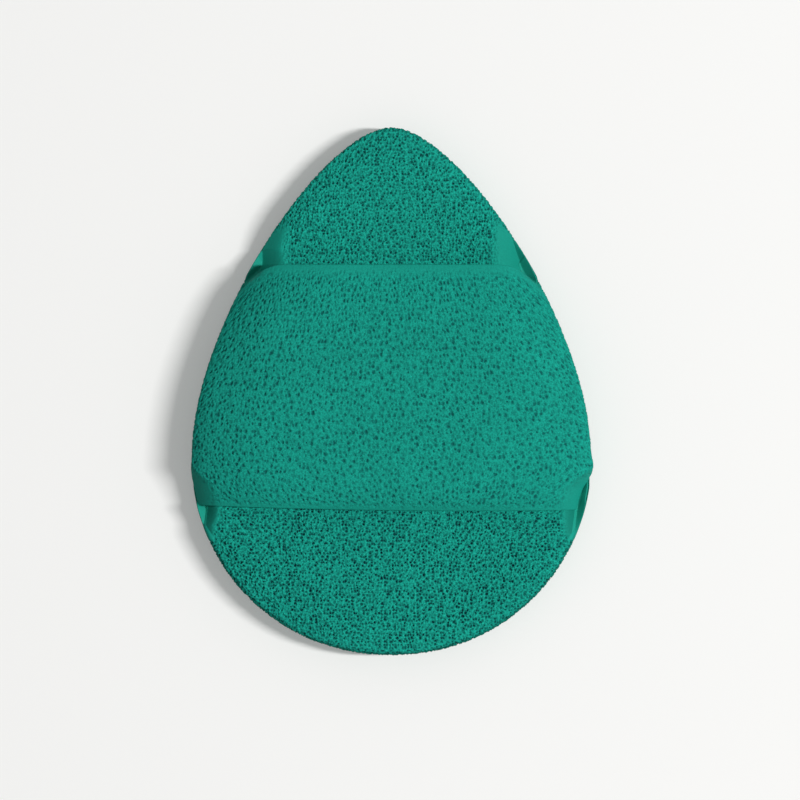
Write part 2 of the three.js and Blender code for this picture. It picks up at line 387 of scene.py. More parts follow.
def pad_object():
    """The pad as two wrapped grids, its back and its face, joined by a wall round the edge."""
    radius, turn = wrapped_grid(PAD_CELLS_ACROSS, PAD_CELLS_ALONG)
    face_count = len(radius)
    on_rim = np.flatnonzero(np.isclose(radius, 1))
    rim = on_rim[np.argsort(turn[on_rim])]
    rim_turn = turn[rim]
    rim_y = outline_at(rim_turn)[:, 1]

    # The back, the flat face and the wall between their edges
    reach = edge_reach(turn)
    edge_y = outline_at(turn)[:, 1]
    back_edge = top_round(edge_y) + pinch(edge_y)
    back_inset = reach - radius * (reach - back_edge)
    back_place = inside_outline(turn, back_inset)
    back_height = pad_back_height(back_inset, back_place)
    face_inset = reach - radius * (reach - BOTTOM_ROUND)
    face_place = inside_outline(turn, face_inset)
    top_height = back_height[rim]
    wall_inset, wall_height = wall_levels(rim_turn, top_height)
    wall_turn = np.broadcast_to(rim_turn, wall_inset.shape)
    wall_place = inside_outline(wall_turn, wall_inset)
    back = np.column_stack([back_place, back_height])
    face = np.column_stack([face_place, np.zeros(face_count)])
    wall = np.concatenate([wall_place, wall_height[..., None]], axis=-1).reshape(-1, 3)
    points = np.concatenate([back, face, wall])

    shape = (PAD_CELLS_ALONG + 1, PAD_CELLS_ACROSS + 1)
    back_ids = np.arange(face_count)
    face_ids = face_count + np.arange(face_count)
    wall_ids = 2 * face_count + np.arange(wall_inset.size).reshape(wall_inset.shape)
    ring_ids = np.concatenate([back_ids[rim][None], wall_ids, face_ids[rim][None]])
    ring_ids = np.concatenate([ring_ids, ring_ids[:, :1]], axis=1)
    back_quads = grid_quads(back_ids.reshape(shape))
    face_quads = grid_quads(face_ids.reshape(shape))[:, ::-1]
    wall_quads = grid_quads(ring_ids)[:, ::-1]
    quads = np.concatenate([back_quads, face_quads, wall_quads])
    uv = pad_uv(points, back_quads, face_quads, rim_turn, len(ring_ids) - 1)

    # Where each point lies on the foam laid flat: the wall runs on from the back, and the face lies apart
    from_inset = np.concatenate([back_edge[rim][None], wall_inset])
    from_height = np.concatenate([top_height[None], wall_height])
    down_wall = np.cumsum(np.hypot(np.diff(from_inset, axis=0), np.diff(from_height, axis=0)), axis=0)
    wall_sheet = inside_outline(wall_turn, back_edge[rim] - down_wall).reshape(-1, 2)
    sheet = np.concatenate([back_place, face_place + [4 * ROUND_RADIUS, 0], wall_sheet])
    sheet = np.column_stack([sheet, np.zeros(len(points))])

    back_skin, back_press = back_skin_and_press(back_inset, back_place)
    wall_skin, wall_press = wall_skin_and_press(rim_y, wall_inset, top_height - wall_height)
    as_cut = np.zeros(face_count)
    skin = np.concatenate([back_skin, as_cut, wall_skin])
    press = np.concatenate([back_press, as_cut, wall_press])
    return quad_object("sponge_pad", points, quads, uv, skin=skin, press=press, sheet=sheet)


def add_node(tree, kind, inputs=None, **settings):
    """Adds a node with its settings, and sets its inputs or links them to sockets or to whole nodes."""
    made = tree.nodes.new(kind)
    for name, value in settings.items():
        setattr(made, name, value)
    for name, value in (inputs or {}).items():
        if isinstance(value, bpy.types.Node):
            value = value.outputs[0]
        if isinstance(value, bpy.types.NodeSocket):
            tree.links.new(value, made.inputs[name])
        else:
            made.inputs[name].default_value = value
    return made


# Pores come in two sets, each given by how much closer it lies than the spacing and by its depth
PORE_SETS = ((1.0, 1.0), (1.75, 0.5))
PORE_SCATTER = 0.95
NARROWEST_PORE = 0.6
WIDEST_PORE = 1.2
PORE_BOTTOM = 0.35
SHALLOWEST_PORE = 0.4
WANDER_FINENESS = 1.5
WANDER_REACH = 0.9
WAVE_LENGTH = 9 * MM
WAVES_ABOVE = 3 * MM
NOISE_DETAIL = 2.0


def pore_pattern(tree, sheet, spacing, width, stretch):
    """0 on the foam's face and 1 deep in a pore, for a coarse set of pores and a finer, shallower one."""
    # Pores are pulled out of round by wandering the place where they are looked up
    fineness = add_node(tree, "ShaderNodeMath", {0: WANDER_FINENESS, 1: spacing}, operation="DIVIDE")
    wander = {"Vector": sheet, "Scale": fineness, "Detail": NOISE_DETAIL}
    wander = add_node(tree, "ShaderNodeTexNoise", wander)
    centred = {0: wander.outputs["Color"], 1: (0.5, 0.5, 0.5)}
    centred = add_node(tree, "ShaderNodeVectorMath", centred, operation="SUBTRACT")
    reach = add_node(tree, "ShaderNodeMath", {0: spacing, 1: WANDER_REACH}, operation="MULTIPLY")
    shift = add_node(tree, "ShaderNodeVectorMath", {0: centred, "Scale": reach}, operation="SCALE")
    wandered = add_node(tree, "ShaderNodeVectorMath", {0: sheet, 1: shift}, operation="ADD")
    long_way = add_node(tree, "ShaderNodeMath", {0: 1.0, 1: stretch}, operation="DIVIDE")
    squeeze = add_node(tree, "ShaderNodeCombineXYZ", {"X": 1.0, "Y": long_way, "Z": 1.0})
    looked_up = add_node(tree, "ShaderNodeVectorMath", {0: wandered, 1: squeeze}, operation="MULTIPLY")

    # Each cell of the foam is cut open by a pore of its own width and depth
    sets = []
    for closeness, deepest in PORE_SETS:
        scale = add_node(tree, "ShaderNodeMath", {0: closeness, 1: spacing}, operation="DIVIDE")
        found = {"Vector": looked_up, "Scale": scale, "Randomness": PORE_SCATTER}
        cells = add_node(tree, "ShaderNodeTexVoronoi", found, voronoi_dimensions="2D")
        chance = add_node(tree, "ShaderNodeSeparateXYZ", {0: cells.outputs["Color"]}).outputs
        widths = {"Value": chance[0], "To Min": NARROWEST_PORE, "To Max": WIDEST_PORE}
        spread = add_node(tree, "ShaderNodeMapRange", widths)
        edge = add_node(tree, "ShaderNodeMath", {0: spread, 1: width}, operation="MULTIPLY")
        bottom = add_node(tree, "ShaderNodeMath", {0: edge, 1: PORE_BOTTOM}, operation="MULTIPLY")
        cup = {"Value": cells.outputs["Distance"], "From Min": edge, "From Max": bottom}
        hollow = add_node(tree, "ShaderNodeMapRange", cup, interpolation_type="SMOOTHSTEP")
        depths = {"Value": chance[1], "To Min": SHALLOWEST_PORE * deepest, "To Max": deepest}
        depth = add_node(tree, "ShaderNodeMapRange", depths)
        sets.append(add_node(tree, "ShaderNodeMath", {0: hollow, 1: depth}, operation="MULTIPLY"))
    return add_node(tree, "ShaderNodeMath", {0: sets[0], 1: sets[1]}, operation="MAXIMUM")


def foam_pores_tree():
    """Sinks the cut-open pores into a foam surface, and lets the sheet wave a little."""
    tree = bpy.data.node_groups.new("foam_pores", "GeometryNodeTree")
    for name, kind in {
        "Geometry": "NodeSocketGeometry",
        "Pore spacing": "NodeSocketFloat",
        "Pore width": "NodeSocketFloat",
        "Pore depth": "NodeSocketFloat",
        "Pore stretch": "NodeSocketFloat",
        "Unevenness": "NodeSocketFloat",
        "Foam": "NodeSocketMaterial",
    }.items():
        tree.interface.new_socket(name, in_out="INPUT", socket_type=kind)
    tree.interface.new_socket("Geometry", in_out="OUTPUT", socket_type="NodeSocketGeometry")
    given = add_node(tree, "NodeGroupInput").outputs

    skin = add_node(tree, "GeometryNodeInputNamedAttribute", {"Name": "skin"}, data_type="FLOAT")
    sheet = add_node(tree, "GeometryNodeInputNamedAttribute", {"Name": "sheet"}, data_type="FLOAT_VECTOR")
    opened = add_node(tree, "ShaderNodeMath", {0: 1.0, 1: skin}, operation="SUBTRACT")
    pores = pore_pattern(tree, sheet, given["Pore spacing"], given["Pore width"], given["Pore stretch"])
    pore = add_node(tree, "ShaderNodeMath", {0: pores, 1: opened}, operation="MULTIPLY")

    # The sheet itself is a little uneven, except where it lies on the table
    place = add_node(tree, "GeometryNodeInputPosition")
    waves = {"Vector": place, "Scale": 1 / WAVE_LENGTH, "Detail": NOISE_DETAIL}
    waves = add_node(tree, "ShaderNodeTexNoise", waves)
    centred = add_node(tree, "ShaderNodeMath", {0: waves, 1: 0.5}, operation="SUBTRACT")
    heave = add_node(tree, "ShaderNodeMath", {0: centred, 1: given["Unevenness"]}, operation="MULTIPLY")
    height = add_node(tree, "ShaderNodeSeparateXYZ", {"Vector": place}).outputs["Z"]
    above = add_node(tree, "ShaderNodeMapRange", {"Value": height, "From Max": WAVES_ABOVE})
    above = add_node(tree, "ShaderNodeMath", {0: above, 1: opened}, operation="MULTIPLY")
    heave = add_node(tree, "ShaderNodeMath", {0: heave, 1: above}, operation="MULTIPLY")
    sink = add_node(tree, "ShaderNodeMath", {0: pore, 1: given["Pore depth"]}, operation="MULTIPLY")
    lift = add_node(tree, "ShaderNodeMath", {0: heave, 1: sink}, operation="SUBTRACT")
    normal = add_node(tree, "GeometryNodeInputNormal")
    offset = add_node(tree, "ShaderNodeVectorMath", {0: normal, "Scale": lift}, operation="SCALE")

    moved = add_node(tree, "GeometryNodeSetPosition", {"Geometry": given["Geometry"], "Offset": offset})
    real = add_node(tree, "GeometryNodeRealizeInstances", {"Geometry": moved})
    dressed = add_node(tree, "GeometryNodeSetMaterial", {"Geometry": real, "Material": given["Foam"]})
    add_node(tree, "NodeGroupOutput", {"Geometry": dressed})
    return tree


foam_pores = foam_pores_tree()


def open_the_pores(piece, **sizes):
    """Runs the pore tree on a piece and keeps its result as the piece's own mesh."""
    modifier = piece.modifiers.new("pores", "NODES")
    modifier.node_group = foam_pores
    for item in foam_pores.interface.items_tree:
        key = item.name.lower().replace(" ", "_")
        if item.in_out == "INPUT" and key in sizes:
            modifier[item.identifier] = sizes[key]
    evaluated = piece.evaluated_get(bpy.context.evaluated_depsgraph_get())
    mesh = bpy.data.meshes.new_from_object(evaluated)
    piece.modifiers.remove(modifier)
    piece.data = mesh
    mesh.shade_smooth()


def srgb(code):
    """An sRGB hex colour as linear red, green, blue and full alpha."""
    parts = [int(code[k : k + 2], 16) / 255 for k in (1, 3, 5)]
    return (*[c / 12.92 if c <= 0.04045 else ((c + 0.055) / 1.055) ** 2.4 for c in parts], 1.0)


GRAIN_SIZE = 0.32 * MM
GRAIN_CONTRAST = 0.26
SKIN_CONTRAST = 0.05
GRAIN_BUMP = 0.35
GRAIN_HEIGHT = 0.1 * MM
DYE_DRIFT = 14 * MM
DYE_CONTRAST = 0.04
NOISE_LOW = 0.3
NOISE_HIGH = 0.7
# The darker tone is for dense foam and also for painted shade
PRESSED_AND_SHADED_TONE = 0.55
FOAM_ROUGHNESS = 0.95
SKIN_ROUGHNESS = 0.72
FOAM_IOR = 1.5
FOAM_SPECULAR = 0.1


def sponge_foam(name, face, pore_shade, pore_spacing, pore_width, pore_stretch):
    """Dyed open-cell sponge: a dull surface with painted shade in its open pores, and fine grains between
    them.
    """
    foam = bpy.data.materials.new(name)
    foam.use_nodes = True
    tree = foam.node_tree
    shader = tree.nodes["Principled BSDF"]
    place = add_node(tree, "ShaderNodeTexCoord").outputs["Object"]
    skin = add_node(tree, "ShaderNodeAttribute", attribute_name="skin").outputs["Fac"]
    press = add_node(tree, "ShaderNodeAttribute", attribute_name="press").outputs["Fac"]
    sheet = add_node(tree, "ShaderNodeAttribute", attribute_name="sheet").outputs["Vector"]

    # The pores of the mesh, drawn again at full sharpness in a dark colour that is painted shade, and none
    # on the closed skin
    pores = pore_pattern(tree, sheet, pore_spacing, pore_width, pore_stretch)
    opened = add_node(tree, "ShaderNodeMath", {0: 1.0, 1: skin}, operation="SUBTRACT")
    pore = add_node(tree, "ShaderNodeMath", {0: pores, 1: opened}, operation="MULTIPLY")
    colour = add_node(tree, "ShaderNodeMix", {0: pore, 6: srgb(face), 7: srgb(pore_shade)}, data_type="RGBA")

    # Grains between the pores, slow drifts of the dye, and a darker tone where the foam is pressed dense
    # and where shade is painted on
    grains = {"Vector": place, "Scale": 1 / GRAIN_SIZE, "Detail": NOISE_DETAIL}
    grains = add_node(tree, "ShaderNodeTexNoise", grains)
    contrasts = {"Value": skin, "To Min": GRAIN_CONTRAST, "To Max": SKIN_CONTRAST}
    speck = add_node(tree, "ShaderNodeMapRange", contrasts)
    darker = add_node(tree, "ShaderNodeMath", {0: 1.0, 1: speck}, operation="SUBTRACT")
    lighter = add_node(tree, "ShaderNodeMath", {0: 1.0, 1: speck}, operation="ADD")
    usual = {"From Min": NOISE_LOW, "From Max": NOISE_HIGH}
    shades = {"Value": grains, "To Min": darker, "To Max": lighter, **usual}
    shade = add_node(tree, "ShaderNodeMapRange", shades)
    dye = {"Vector": place, "Scale": 1 / DYE_DRIFT, "Detail": NOISE_DETAIL}
    dye = add_node(tree, "ShaderNodeTexNoise", dye)
    tones = {"Value": dye, "To Min": 1 - DYE_CONTRAST, "To Max": 1 + DYE_CONTRAST, **usual}
    tone = add_node(tree, "ShaderNodeMapRange", tones)
    dense_and_shaded = add_node(tree, "ShaderNodeMapRange", {"Value": press, "To Min": 1.0, "To Max": PRESSED_AND_SHADED_TONE})
    tone = add_node(tree, "ShaderNodeMath", {0: tone, 1: dense_and_shaded}, operation="MULTIPLY")
    both = add_node(tree, "ShaderNodeMath", {0: shade, 1: tone}, operation="MULTIPLY")
    dyed = {0: colour.outputs[2], "Scale": both}
    toned = add_node(tree, "ShaderNodeVectorMath", dyed, operation="SCALE")
    tree.links.new(toned.outputs[0], shader.inputs["Base Color"])

    finishes = {"Value": skin, "To Min": FOAM_ROUGHNESS, "To Max": SKIN_ROUGHNESS}
    rough = add_node(tree, "ShaderNodeMapRange", finishes)
    tree.links.new(rough.outputs[0], shader.inputs["Roughness"])
    dents = {"Strength": GRAIN_BUMP, "Distance": GRAIN_HEIGHT, "Height": grains}
    bump = add_node(tree, "ShaderNodeBump", dents)
    tree.links.new(bump.outputs[0], shader.inputs["Normal"])
    shader.inputs["IOR"].default_value = FOAM_IOR
    shader.inputs["Specular IOR Level"].default_value = FOAM_SPECULAR
    return foam


PAD_COLOUR = "#18a692"
# Painted shade: the pores are coloured dark to darken their hollows
PAD_PORE_SHADE = "#042130"
PAD_PORES = {"pore_spacing": 0.62 * MM, "pore_width": 0.59, "pore_stretch": 1.06}

pad = pad_object()
pad_foam = sponge_foam("open_cell_sponge", PAD_COLOUR, PAD_PORE_SHADE, **PAD_PORES)
open_the_pores(pad, pore_depth=0.6 * MM, unevenness=0.22 * MM, foam=pad_foam, **PAD_PORES)
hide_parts("cleansing_pad")
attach(pad, "pad")


# Bond lines
# Two thin runs of hot-melt glue, tinted like the foam, that hold the band's feet on the pad's pressed edge.
# They lie in the groove of that edge and run out thinner past the band's corners.

BOND_WIDTH = 4.5 * MM
BOND_THICKNESS = bond_high.z - bond_low.z
BOND_CLEARANCE = 0.02 * MM
BOND_SETBACK = 0.3 * MM
BOND_EDGE = 0.02  # share of the film's width that its steep edges take
TAIL_SETBACK = 0.12 * MM
TAIL_THICKNESS = 0.03 * MM
GLUE_COLOUR = "#179683"
PALE_GLUE_COLOUR = "#1a9f8b"
RIPPLE_LENGTH = 1.6 * MM
RIPPLE_BUMP = 0.3
RIPPLE_HEIGHT = 0.08 * MM
SMOOTH_GLUE = 0.55
ROUGH_GLUE = 0.7
GLUE_IOR = 1.48
GLUE_SPECULAR = 0.2

BOND_ROWS = 300
BOND_COLUMNS = 20


def bond_object(name, side):
    """A closed film on the pad's pressed edge, on the right for side 1 and on the left for side -1."""
    left_half = outline[: len(outline) // 2]
    left_turn = walked[: len(left_half)] / walked[-1]
    row_y = np.linspace(bond_high.y, bond_low.y, BOND_ROWS)
    turn = np.interp(-row_y, -left_half[:, 1], left_turn)[:, None]
    turn = 1 - turn if side > 0 else turn
    edge_place = outline_at(turn)
    edge_y = edge_place[..., 1]

    across = np.concatenate([[0], np.linspace(BOND_EDGE, 1 - BOND_EDGE, BOND_COLUMNS - 2), [1]])
    tail = lip_width(edge_place) + GLUE_PAST_LIP
    outer = mix(BOND_SETBACK, TAIL_SETBACK, beside_band(edge_y)) + pinch(edge_y)
    inner = mix(BOND_WIDTH, tail, beside_band(edge_y))
    inset = mix(outer, inner, across)
    place = inside_outline(np.broadcast_to(turn, inset.shape), inset)
    under = pad_back_height(inset, place) + BOND_CLEARANCE
    thickness = mix(BOND_THICKNESS - 2 * BOND_CLEARANCE, TAIL_THICKNESS, beside_band(edge_y))
    over = under + thickness * ((across > 0) & (across < 1))

    # Round each row: over the film from the outer edge to the inner, and back under it
    top = np.concatenate([place, over[..., None]], axis=-1)
    bottom = np.concatenate([place, under[..., None]], axis=-1)[:, -2:0:-1]
    loop = np.concatenate([top, bottom], axis=1)
    points = loop.reshape(-1, 3)
    count = loop.shape[1]
    ids = np.arange(len(points)).reshape(-1, count)
    quads = grid_quads(np.concatenate([ids, ids[:, :1]], axis=1))
    column = np.arange(BOND_COLUMNS - 1)
    ends = np.stack([column, column + 1, -column - 1, -column], axis=-1) % count
    quads = np.concatenate([quads, ids[0][ends][:, ::-1], ids[-1][ends]])

    # The UV map is the loop laid flat, with the two end caps above it
    film_start = 0.02
    film_size = np.array([0.9, 0.36])
    cap_length = 0.3
    last_cap_start = 0.52
    cap_levels = np.array([0.6, 0.6, 0.62, 0.62])
    grid_v, grid_u = np.meshgrid(np.arange(count + 1) / count, np.linspace(0, 1, BOND_ROWS))
    corners = grid_quads(np.arange(grid_u.size).reshape(grid_u.shape))
    film_uv = film_start + film_size * np.stack([grid_u.ravel(), grid_v.ravel()], axis=-1)[corners]
    cap_u = np.stack([column, column + 1, column + 1, column], axis=-1) / BOND_COLUMNS
    cap_v = np.broadcast_to(cap_levels, cap_u.shape)
    first_uv = np.stack([film_start + cap_length * cap_u, cap_v], axis=-1)[:, ::-1]
    last_uv = np.stack([last_cap_start + cap_length * cap_u, cap_v], axis=-1)
    uv = np.concatenate([film_uv, first_uv, last_uv])
    if side > 0:
        quads = quads[:, ::-1]
        uv = uv[:, ::-1]
    return quad_object(name, points, quads, uv)


def hot_melt():
    """Tinted hot-melt glue: smoother and glossier than the foam, with a slow ripple where it ran."""
    glue = bpy.data.materials.new("tinted_hot_melt")
    glue.use_nodes = True
    tree = glue.node_tree
    shader = tree.nodes["Principled BSDF"]
    place = add_node(tree, "ShaderNodeTexCoord").outputs["Object"]
    ripple = {"Vector": place, "Scale": 1 / RIPPLE_LENGTH, "Detail": NOISE_DETAIL}
    ripple = add_node(tree, "ShaderNodeTexNoise", ripple)
    tint = {0: ripple, 6: srgb(GLUE_COLOUR), 7: srgb(PALE_GLUE_COLOUR)}
    colour = add_node(tree, "ShaderNodeMix", tint, data_type="RGBA")
    tree.links.new(colour.outputs[2], shader.inputs["Base Color"])
    finishes = {"Value": ripple, "To Min": SMOOTH_GLUE, "To Max": ROUGH_GLUE}
    rough = add_node(tree, "ShaderNodeMapRange", finishes)
    tree.links.new(rough.outputs[0], shader.inputs["Roughness"])
    dents = {"Strength": RIPPLE_BUMP, "Distance": RIPPLE_HEIGHT, "Height": ripple}
    bump = add_node(tree, "ShaderNodeBump", dents)
    tree.links.new(bump.outputs[0], shader.inputs["Normal"])
    shader.inputs["IOR"].default_value = GLUE_IOR
    shader.inputs["Specular IOR Level"].default_value = GLUE_SPECULAR
    return glue


glue = hot_melt()
for node, side in (("left_bond_line", -1), ("right_bond_line", 1)):
    film = bond_object(node.replace("bond_line", "glue_line"), side)
    film.data.materials.append(glue)
    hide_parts(node)
    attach(film, "pad")


# Finger band
# A strip of thinner sponge that arches over the pad from edge to edge, bonded down along both sides.
# Its sides are cut flush with the pad, and its open ends are hot-cut, which closes the pores along them.

BAND_FOOT_Z = band_low.z
BAND_CROWN_Z = band_high.z
BAND_RISE = BAND_CROWN_Z - BAND_FOOT_Z
BAND_FOAM = 3.0 * MM
FRONT_FALL = 1.8 * MM
BACK_FALL = 3.2 * MM
FALL_SHARPNESS = 9
BACK_SKEW = 1.0 * MM
CUT_SIDE = 4.2 * MM
CUT_SHARE = CUT_SIDE / BAND_RISE
CUT_ROUNDING = 3  # steps along the arch
DOME_FULLNESS = 4.4
SIDE_SWELL = 0.6 * MM
RIGHT_BULGE = 1.1 * MM
LEFT_BULGE = 0.4 * MM
BULGE_FROM_BACK = 7.3 * MM
BULGE_LENGTH = 3.2 * MM
CORNER_SLUMP = 0.8
SLUMP_WIDTH = 0.11  # share of the half width
SLUMP_CURVE = 1.8
FULL_SLUMP = 0.5
LEAST_SLUMP = 0.001
RIGHT_CORNER_PULL = 1.8 * MM
LEFT_CORNER_PULL = 0.4 * MM
FRONT_SWEEP = 6.0 * MM
FRONT_SWEEP_REACH = 7.0 * MM
FRONT_SWEEP_CURVE = 3
EDGE_ROUND = 0.06 * MM
FOOT_ROUND = 0.1 * MM

# Where the band's pores are closed, where its foam is dense, and where its left shoulder takes painted
# shade
LIP_SKIN = 0.9
LIP_SKIN_FADE = (0.1, 1)
FRONT_LIP = 3.2 * MM
BACK_LIP = 1.2 * MM
CUT_FACE_SKIN = 0.4
CUT_FACE_START = (0.1, 0.3)
CUT_FACE_END = (0.7, 0.9)
FOOT_SKIN = 0.5
FOOT_SKIN_FADE = (0.5, 1)
MELTED_FOOT = 5.0 * MM
MELTED_CORNER = 11.0 * MM
FOOT_PRESS = 0.18
LEFT_SHOULDER_SHADE = 0.75
SHOULDER_SHADE_WIDTH = 4.0 * MM

ARCH_STEPS = 540
BAND_STEPS = 285
LIP_STEPS = 24


def eased(values):
    """Each value along the arch averaged with its neighbours, which rounds the edge of the cut side."""
    reach = 2 * CUT_ROUNDING + 1
    longer = np.pad(values, CUT_ROUNDING, mode="reflect", reflect_type="odd")
    return np.convolve(longer, np.ones(reach) / reach, mode="valid")


def arch_line():
    """Length, place across and share of the rise, in even steps along the arch from right foot to left."""
    climb = np.linspace(0, CUT_SHARE, ARCH_STEPS)
    over = np.linspace(1, -1, 4 * ARCH_STEPS)[1:-1]
    dome = 1 - (1 - CUT_SHARE) * abs(over) ** DOME_FULLNESS
    across = np.concatenate([np.ones(ARCH_STEPS), over, -np.ones(ARCH_STEPS)])
    up = np.concatenate([climb, dome, climb[::-1]])
    length = np.hypot(np.diff(across) * ROUND_RADIUS, np.diff(up) * BAND_RISE)
    length = np.concatenate([[0], np.cumsum(length)])
    even = np.linspace(0, length[-1], ARCH_STEPS + 1)
    return even, eased(np.interp(even, length, across)), eased(np.interp(even, length, up))


def band_side(across, up, y, depth):
    """How far the band's side lies from the middle, where depth is 0 on the skin and 1 on the lining."""
    # The sides swell between the corners, bulge near the back and draw in at the back corners
    pull = np.where(across > 0, RIGHT_CORNER_PULL, LEFT_CORNER_PULL)
    pull = pull * corner_share(y) * (y < 0) + pinch(y)
    swell = SIDE_SWELL * (1 - corner_share(y))
    side_bulge = np.where(across > 0, RIGHT_BULGE, LEFT_BULGE)
    swell += side_bulge * np.exp(-(((y - BAND_BACK_Y - BULGE_FROM_BACK) / BULGE_LENGTH) ** 2))
    swell *= smooth_step(up, 0, CUT_SHARE) * (1 - depth)
    return half_width(y) + swell - pull - depth * BOND_WIDTH


def band_slump(across, y, depth):
    """How far the band's corners are melted down towards the pad, from 0 to 1."""
    corner = np.maximum(corner_share(y), LEAST_SLUMP)
    at_side = np.clip(1 - (1 - abs(across)) / (SLUMP_WIDTH * corner), 0, 1)
    return CORNER_SLUMP * np.minimum(corner / FULL_SLUMP, 1) * at_side**SLUMP_CURVE * (1 - depth)


def band_skin_and_press(even, across, y, to_edge, depth):
    """How far the band's pores are closed, and how dense its foam is, with painted shade on the left
    shoulder added to the darkening.
    """
    # The pores are closed along the open ends, less so on their cut faces, and towards the feet
    lip_skin = LIP_SKIN * (1 - smooth_step(to_edge, *LIP_SKIN_FADE))
    cut_face = smooth_step(depth, *CUT_FACE_START) * (1 - smooth_step(depth, *CUT_FACE_END))
    lip_skin *= mix(1, CUT_FACE_SKIN, cut_face)
    to_foot = np.minimum(even, even[-1] - even)[:, None]
    at_corner = corner_share(y)
    foot_end = mix(MELTED_FOOT, MELTED_CORNER, at_corner)
    foot_skin = (1 - smooth_step(to_foot / foot_end, *FOOT_SKIN_FADE)) * mix(FOOT_SKIN, 1, at_corner)
    skin = np.maximum(lip_skin, foot_skin)
    # The left shoulder, on the side away from the lamp, is darkened with painted shade, more so towards the
    # back
    shoulder_shade = smooth_step(to_foot, 0, CUT_SIDE) * (1 - smooth_step(to_foot - CUT_SIDE, 0, SHOULDER_SHADE_WIDTH))
    shoulder_shade = LEFT_SHOULDER_SHADE * shoulder_shade * (1 - towards_tip(y)) * (across < 0)
    press = np.maximum(FOOT_PRESS * foot_skin, shoulder_shade)
    return skin.ravel(), press.ravel()


def band_uv(even, count, foot_count):
    """UVs of the sweep laid flat, with the two feet in a strip above it."""
    sweep_start = 0.01
    sweep_size = 0.9
    left_foot_start = 0.5
    foot_levels = np.array([0.93, 0.93, 0.97, 0.97])
    grid_u, grid_v = np.meshgrid(np.arange(count + 1) / count, even / even[-1])
    corners = grid_quads(np.arange(grid_u.size).reshape(grid_u.shape))
    sweep_uv = sweep_start + sweep_size * np.stack([grid_u.ravel(), grid_v.ravel()], axis=-1)[corners]
    foot_u = np.arange(foot_count) / count
    foot_u = np.stack([foot_u, foot_u + 1 / count, foot_u + 1 / count, foot_u], axis=-1)
    foot_v = np.broadcast_to(foot_levels, foot_u.shape)
    right_uv = np.stack([foot_u, foot_v], axis=-1)
    left_uv = np.stack([foot_u + left_foot_start, foot_v], axis=-1)
    return np.concatenate([sweep_uv, right_uv[:, ::-1], left_uv])


def band_object():
    """The band as a loop round its skin, lips and lining, swept along the arch from foot to foot."""
    # Round the loop: place along the band from -1 to 1, bulge of the lip, and depth from skin to lining
    run = np.linspace(-1, 1, BAND_STEPS)
    turn = np.linspace(-1, 1, LIP_STEPS + 2)[1:-1]
    bulge = np.sqrt(1 - turn**2)
    loop_side = np.concatenate([run, np.ones(LIP_STEPS), -run, -np.ones(LIP_STEPS)])
    loop_bulge = np.concatenate([0 * run, bulge, 0 * run, bulge])
    loop_depth = np.concatenate([0 * run, (1 + turn) / 2, 0 * run + 1, (1 - turn) / 2])
    even, across, up = arch_line()
    across = across[:, None]
    up = up[:, None]

    # The front edge sweeps back to the feet, and the back edge runs a little askew
    from_side = half_width(BAND_FRONT_Y) * (1 - abs(across))
    swept = np.clip(1 - from_side / FRONT_SWEEP_REACH, 0, 1) ** FRONT_SWEEP_CURVE
    front = BAND_FRONT_Y - FRONT_SWEEP * swept
    back = BAND_BACK_Y + BACK_SKEW * across * (across - 1) / 2
    # Both open ends fall towards the pad
    fall = np.where(loop_side > 0, FRONT_FALL, BACK_FALL)
    lean = np.arctan(up * fall * FALL_SHARPNESS / ((BAND_FRONT_Y - BAND_BACK_Y) / 2))
    lip = mix(FOOT_ROUND, EDGE_ROUND, up)
    out = lip * np.cos(lean)
    sink = fall * abs(loop_side) ** FALL_SHARPNESS + lip * np.sin(lean) * loop_bulge
    y = mix(back + out, front - out, (1 + loop_side) / 2) + loop_side * out * loop_bulge
    x = across * band_side(across, up, y, loop_depth)
    height = up * (1 - band_slump(across, y, loop_depth))
    z = BAND_FOOT_Z + height * (BAND_RISE - sink - loop_depth * BAND_FOAM)
    points = np.stack([x, y, z], axis=-1).reshape(-1, 3)

    count = len(loop_side)
    ids = np.arange(len(points)).reshape(-1, count)
    quads = grid_quads(np.concatenate([ids, ids[:, :1]], axis=1))
    # Each foot is closed by quads across the foam, from skin to lining
    skin_side = np.arange(-LIP_STEPS // 2, BAND_STEPS + LIP_STEPS // 2)
    lining_side = BAND_STEPS + LIP_STEPS + (BAND_STEPS - 1) - skin_side
    across_foot = [skin_side[:-1], skin_side[1:], lining_side[1:], lining_side[:-1]]
    across_foot = np.stack(across_foot, axis=-1) % count
    quads = np.concatenate([quads, ids[0][across_foot][:, ::-1], ids[-1][across_foot]])
    uv = band_uv(even, count, len(across_foot))

    # Where each point lies on the strip: along the arch, and round the loop as it runs at the crown
    crown = np.stack([y, z], axis=-1)[ARCH_STEPS // 2]
    around = np.concatenate([[0], np.cumsum(np.linalg.norm(np.diff(crown, axis=0), axis=1))])
    sheet_x, sheet_y = np.broadcast_arrays(even[:, None], around)
    sheet = np.column_stack([sheet_x.ravel(), sheet_y.ravel(), np.zeros(len(points))])

    to_edge = np.where(loop_side > 0, (front - y) / FRONT_LIP, (y - back) / BACK_LIP)
    skin, press = band_skin_and_press(even, across, y, to_edge, loop_depth)
    return quad_object("finger_band", points, quads, uv, skin=skin, press=press, sheet=sheet)


BAND_COLOUR = "#159886"
# Painted shade: the band's pores are coloured dark to darken their hollows
BAND_PORE_SHADE = "#0d5c59"
BAND_PORES = {"pore_spacing": 0.95 * MM, "pore_width": 0.42, "pore_stretch": 1.3}

band = band_object()
band_foam = sponge_foam("fine_sponge_strip", BAND_COLOUR, BAND_PORE_SHADE, **BAND_PORES)
open_the_pores(band, pore_depth=0.38 * MM, unevenness=0.3 * MM, foam=band_foam, **BAND_PORES)
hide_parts("pocket_band")
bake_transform(band)


